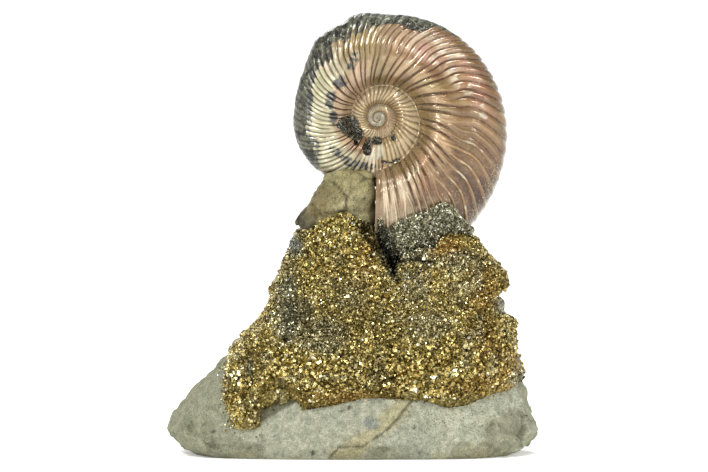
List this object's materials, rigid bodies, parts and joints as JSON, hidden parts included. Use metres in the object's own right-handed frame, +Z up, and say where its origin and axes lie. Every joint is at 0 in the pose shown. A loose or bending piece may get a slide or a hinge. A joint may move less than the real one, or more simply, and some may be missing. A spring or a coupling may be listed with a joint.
{
  "type": "pyritized ammonite on matrix",
  "caption": "Coiled, ribbed, iridescent ammonite shell rising from a claystone block whose front is crusted with golden pyrite crystals; stands on a flat sawn foot.",
  "frame": {"origin": "middle of the flat foot, which is z = 0", "axes": "+Z up from the foot, and the face with the golden crust looks along -Y, so +X is to the right in the picture"},
  "size_m": [0.1887, 0.088, 0.2208],
  "materials": {
    "claystone": "matte",
    "gold_pyrite": "satin",
    "silver_pyrite": "satin",
    "nacreous_shell": "polished"
  },
  "bodies": {
    "root": {"claystone_matrix": "claystone", "gold_pyrite_crust": "gold_pyrite", "silver_pyrite_crust": "silver_pyrite", "ammonite_shell": "nacreous_shell"}
  },
  "joints": []
}
